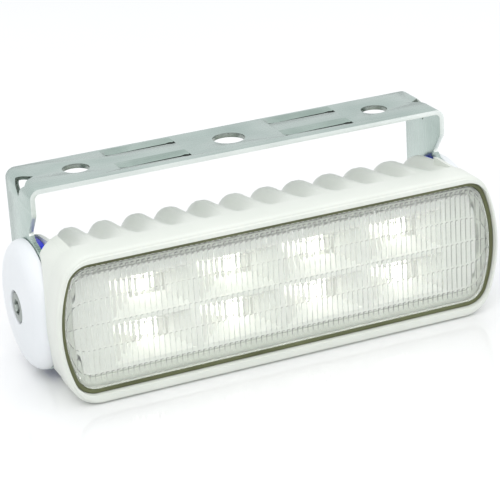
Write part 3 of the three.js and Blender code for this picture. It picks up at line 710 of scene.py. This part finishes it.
def front_bezel():
    """One closed ring: rear face, rounded outside, raised lip, window wall and lens ledge."""
    back = HOUSING_FRONT - 0.08
    ledge = WINDOW - LEDGE
    profile = [
        (BEZEL - 0.25, back),
        (BEZEL - 0.06, back - 0.05),
        (BEZEL, back - 0.25),
        (BEZEL, LIP_FRONT + 2.6),
        (BEZEL - 0.1, LIP_FRONT + 1.9),
        (BEZEL - 0.36, LIP_FRONT + 1.3),
        (BEZEL - 0.75, LIP_FRONT + 0.95),
        (BEZEL - 1.05, LIP_FRONT + 0.88),
        (BEZEL - 1.13, LIP_FRONT + 0.8),
        (BEZEL - 1.2, LIP_FRONT + 0.35),
        (BEZEL - 1.32, LIP_FRONT + 0.1),
        (BEZEL - 1.6, LIP_FRONT),
        (WINDOW + 0.5, LIP_FRONT),
        (WINDOW + 0.15, LIP_FRONT + 0.1),
        (WINDOW, LIP_FRONT + 0.4),
        (WINDOW, LEDGE_FRONT),
        (ledge + 0.2, LEDGE_FRONT),
        (ledge, LEDGE_FRONT + 0.2),
        (ledge, back),
    ]
    outside, inside = profile[:12], profile[12:]
    rings = [front_ring(size, y, BEZEL_MIDDLE_Z) for size, y in outside]
    rings += [front_ring(size, y, WINDOW_MIDDLE_Z) for size, y in inside]
    body = loft("front_bezel_visual", rings, closed=True)
    smooth(body, 38)
    return finish_piece(body, WHITE_SHELL, "lamp", ["front_bezel"])


# ---------------------------------------------------------------- lens


LENS_PANE = WINDOW - 2.2
FLUTE_PITCH = 2.3
FLUTE_DEPTH = 0.5
BAND_EDGES = [-0.94, -0.79, -0.38, 0.03, 0.44, 0.86, 0.94]  # shares of the pane's half height
BAND_BLEND = 0.03


def lens_rows():
    """Shares of the pane's height, closer together where the flutes and bands end."""
    shares = set(np.round(np.linspace(-1, 1, 31), 4))
    for edge in BAND_EDGES:
        shares.update(np.round(edge + np.linspace(-BAND_BLEND, BAND_BLEND, 7), 4))
    return np.array(sorted(share for share in shares if -1 <= share <= 1))


def flute_height(x, share):
    """How far the inner face bulges at one place: ribs along Z, pillowed between bands."""
    across = (x / FLUTE_PITCH) % 1 * 2 - 1
    rib = 1 - across ** 2
    edges = np.array(BAND_EDGES)
    from_foot, from_top = share - edges[0], edges[-1] - share
    inside = np.clip(from_foot / BAND_BLEND, 0, 1) * np.clip(from_top / BAND_BLEND, 0, 1)
    band = np.searchsorted(edges, share)
    if 0 < band < len(edges):
        along = (share - edges[band - 1]) / (edges[band] - edges[band - 1]) * 2 - 1
        pillow = 1 - along ** 12
    else:
        pillow = 0
    return FLUTE_DEPTH * rib * inside * (0.3 + 0.7 * pillow)


def lens_pane():
    """Smooth outer face and fluted inner face, closed round the edge."""
    columns = np.arange(-LENS_PANE[0], LENS_PANE[0] + 1e-6, FLUTE_PITCH / 8)
    columns = columns - columns.mean()
    rows = lens_rows()
    between_ribs = LENS_HIGH[1] - 1.3
    front, back = [], []
    for x in columns:
        half = half_height_at(x, LENS_PANE)
        for share in rows:
            z = WINDOW_MIDDLE_Z + half * share
            front.append([x, LENS_LOW[1], z])
            back.append([x, between_ribs + flute_height(x, share), z])
    count, size = len(columns), len(rows)
    points = np.array(front + back)
    offset = len(front)
    faces = []
    for i in range(count - 1):
        for j in range(size - 1):
            a = i * size + j
            faces.append((a, a + 1, a + size + 1, a + size))
            faces.append((offset + a, offset + a + size, offset + a + size + 1, offset + a + 1))
    rim = [i * size for i in range(count)] + [(count - 1) * size + j for j in range(1, size)]
    rim += [i * size + size - 1 for i in range(count - 2, -1, -1)] + list(range(size - 2, 0, -1))
    for a, b in zip(rim, rim[1:] + rim[:1]):
        faces.append((a, b, offset + b, offset + a))
    return new_object("lens_visual", points, faces)


def lens():
    pane = lens_pane()
    smooth(pane, 50)
    return finish_piece(pane, CLEAR, "lamp", ["lens"])


def lens_gasket():
    outer, inner = WINDOW - 0.2, WINDOW - 1.9
    front = GASKET_LOW[1]
    profile = [
        (outer, GASKET_HIGH[1] + 2),
        (outer, front + 0.25),
        (outer - 0.25, front),
        (inner + 0.5, front),
        (inner + 0.12, front + 0.2),
        (inner, front + 0.6),
        (inner, GASKET_HIGH[1] + 2),
    ]
    body = loft("lens_gasket_visual", [front_ring(size, y) for size, y in profile], closed=True)
    smooth(body, 40)
    return finish_piece(body, OLIVE_SEAL, "lamp", ["lens_gasket"])


# ---------------------------------------------------------------- pivots


BOLT_SEAT = 93.6  # floor of the cap's recess
HEAD_INNER = 94.9  # underside of the bolt's head, on its washer


def end_cap(name, side):
    """Domed cap, hollow behind its rim, with a hub through the bracket and a sunk bolt seat."""
    rim, face, foot = CAP_HIGH[2], CAP_HIGH[0], CAP_FOOT
    bore, hub, seat = 4.3, 7.6, 6.95
    inner_rim = rim - 2.6
    edge_radius = 18.2
    crown_height = 0.95
    rise = face - crown_height - (foot + 1)
    angles = np.radians(np.linspace(0, 90, 15))
    shoulder = [
        [edge_radius + (rim - edge_radius) * math.cos(a), foot + 1 + rise * math.sin(a)] for a in angles
    ]
    crown = [
        [r, face - crown_height * ((r - hub) / (edge_radius - hub)) ** 2] for r in (15.5, 13, 10.5, 8.6)
    ]
    profile = [
        [bore, CAP_LOW[0]],
        [hub, CAP_LOW[0]],
        [hub, foot],
        [hub + 2, foot],
        [hub + 2, foot + 3.5],
        [inner_rim, foot + 3],
        [inner_rim, foot],
        [rim - 0.3, foot],
        [rim, foot + 0.3],
        *shoulder,
        *crown,
        [hub, face],
        [seat + 0.2, face - 0.12],
        [seat, face - 0.5],
        [seat - 0.05, BOLT_SEAT],
        [bore, BOLT_SEAT],
    ]
    body = turned_x(f"{name}_end_cap_visual", profile, side, segments=128)
    smooth(body, 40)
    return finish_piece(body, WHITE_CAP, "lamp", [f"{name}_end_cap"])


def pivot_bolt(name, side):
    """Socket-head bolt with a hex socket."""
    end, radius = BOLT_HIGH[0], BOLT_HIGH[2]
    shank = 3.9
    profile = [
        [0, BOLT_LOW[0]],
        [shank - 0.7, BOLT_LOW[0]],
        [shank, BOLT_LOW[0] + 0.7],
        [shank, HEAD_INNER],
        [radius - 0.3, HEAD_INNER],
        [radius, HEAD_INNER + 0.3],
        [radius, end - 0.5],
        [radius - 0.15, end - 0.15],
        [radius - 0.5, end],
        [0, end],
    ]
    body = turned_x(f"{name}_pivot_bolt_visual", profile, side, segments=72, closed=False)
    socket_radius, socket_depth = 3.46, 3.8
    hexagon = arc((0, 0), socket_radius, 0, 360, 6)[:-1]
    low, high = sorted((side * (end - socket_depth), side * (end + 2)))
    boolean(body, [prism("socket", hexagon, "X", low, high)], "DIFFERENCE")
    bevel(body, 0.12, segments=2, angle=50)
    smooth(body, 35)
    return finish_piece(body, BOLT_AND_HOLE_SHADE_STEEL, "lamp", [f"{name}_pivot_bolt"])


def friction_ring(name, side):
    low, high, rim = RING_LOW[0], RING_HIGH[0], RING_HIGH[2] - 0.6
    bore = DISC_BORE + 0.2
    profile = [
        [bore, low],
        [rim - 0.25, low],
        [rim, low + 0.25],
        [rim, high - 0.25],
        [rim - 0.25, high],
        [bore, high],
    ]
    body = turned_x(f"{name}_friction_ring_visual", profile, side, segments=128)
    smooth(body, 35)
    return finish_piece(body, BLUE_NYLON, "lamp", [f"{name}_friction_ring"])


# ---------------------------------------------------------------- cable gland


def gland_nut():
    """Domed nut with fine grip ribs round its skirt."""
    start, end = NUT_LOW[1], NUT_HIGH[1]
    rim = 7.9
    segments = 144
    angles = np.linspace(0, 2 * math.pi, segments, endpoint=False)
    ribs = 0.22 * (np.cos(angles * 24) > 0)
    profile = [
        (rim - 0.5, start, 0),
        (rim, start + 0.4, 1),
        (rim, start + 3.0, 1),
        (rim - 0.7, start + 3.8, 0),
        (rim - 1.4, start + 4.6, 0),
        (6.0, end - 0.5, 0),
        (5.4, end - 0.1, 0),
        (4.8, end, 0),
        (3.9, end, 0),
        (3.75, end - 0.15, 0),
        (3.75, end - 1.4, 0),
        (6.05, end - 1.9, 0),
        (6.05, start, 0),
    ]
    rings = []
    for radius, y, ribbed in profile:
        r = radius - ribs * ribbed
        rings.append(np.stack([r * np.cos(angles), np.full(segments, y), r * np.sin(angles)], 1))
    body = loft("cable_gland_nut_visual", rings, closed=True)
    smooth(body, 35)
    return finish_piece(body, BLACK_NYLON, "lamp", ["cable_gland_nut"])


# ---------------------------------------------------------------- CAD nodes that stay as they are


def dress_cad_nodes():
    looks = {
        "body_seal": BLACK_RUBBER,
        "reflector": REFLECTOR_WHITE,
        "led_board": BOARD_WHITE,
        "thermal_pad": GREY_PAD,
        "heat_spreader": ALUMINIUM,
        "driver_board": GREEN_BOARD,
        "driver_coil": FERRITE,
        "driver_capacitor": SLEEVE,
        "supply_connector": PALE_PLASTIC,
        "cable_gland_body": BLACK_NYLON,
        "cable_gland_seal": BLACK_RUBBER,
    }
    families = {"led_": PHOSPHOR, "screw": SCREW_STEEL, "washer": SCREW_STEEL, "insert": BRASS}
    for name, node in frame["nodes"].items():
        if node.hide_render:
            continue
        family = next((made for part, made in families.items() if part in name), None)
        node.material_slots[0].material = looks.get(name) or family


# ---------------------------------------------------------------- studio


def camera():
    """Long lens, a little left of and above the lamp, tipped as the view is."""
    azimuth, elevation, roll = (math.radians(a) for a in (-22.54, 21.85, -3.5))
    distance = 918.0
    target = np.array([2.58, 0, 2.78])
    back = np.array([
        math.sin(azimuth) * math.cos(elevation),
        -math.cos(azimuth) * math.cos(elevation),
        math.sin(elevation),
    ])
    level = np.array([math.cos(azimuth), math.sin(azimuth), 0])
    upright = np.cross(back, level)
    right = level * math.cos(roll) + upright * math.sin(roll)
    up = upright * math.cos(roll) - level * math.sin(roll)
    data = bpy.data.cameras.new("camera")
    data.lens = 158.46
    data.sensor_width = 36
    thing = bpy.data.objects.new("camera", data)
    matrix = Matrix.Identity(4)
    for column, vector in enumerate((right, up, back, place(target + back * distance)[0])):
        for row in range(3):
            matrix[row][column] = vector[row]
    thing.matrix_world = matrix
    bpy.context.scene.collection.objects.link(thing)
    bpy.context.scene.camera = thing


def softbox(name, position, target, size, power):
    data = bpy.data.lights.new(name, "AREA")
    data.shape = "RECTANGLE"
    data.size, data.size_y = size
    data.energy = power
    thing = bpy.data.objects.new(name, data)
    thing.location = position
    thing.rotation_euler = (Vector(position) - Vector(target)).to_track_quat("Z", "Y").to_euler()
    bpy.context.scene.collection.objects.link(thing)


def studio():
    reach = 3000
    square = [[-reach, -reach], [reach, -reach], [reach, reach], [-reach, reach]]
    floor = prism("floor", square, "Z", FLOOR_Z - 5, FLOOR_Z - 0.05)
    pale = look(
        "pale_floor", (0.90, 0.90, 0.90), (0.92, 0.92, 0.92), (0.05, 0.1), patch_scale=3, grain_height=0.0005,
    )
    painted(floor, pale)
    world = bpy.data.worlds.new("studio")
    world.use_nodes = True
    world.node_tree.nodes["Background"].inputs["Color"].default_value = (0.97, 0.985, 1.0, 1)
    world.node_tree.nodes["Background"].inputs["Strength"].default_value = 0.92
    bpy.context.scene.world = world
    softbox("key", (-0.5, -0.7, 0.9), (0, 0, 0.03), (0.9, 0.6), 4)
    softbox("top", (0.1, 0.25, 1.1), (0, 0, 0.03), (1.2, 0.7), 2.2)
    softbox("fill", (0.9, -0.6, 0.4), (0, 0, 0.03), (0.6, 0.8), 1.2)
    bpy.context.scene.view_settings.view_transform = "Standard"


# ---------------------------------------------------------------- build

camera()
studio()
mounting_bracket()
lamp_housing()
front_bezel()
lens()
lens_gasket()
for side_name, side_sign in SIDES.items():
    end_cap(side_name, side_sign)
    pivot_bolt(side_name, side_sign)
    friction_ring(side_name, side_sign)
gland_nut()
dress_cad_nodes()
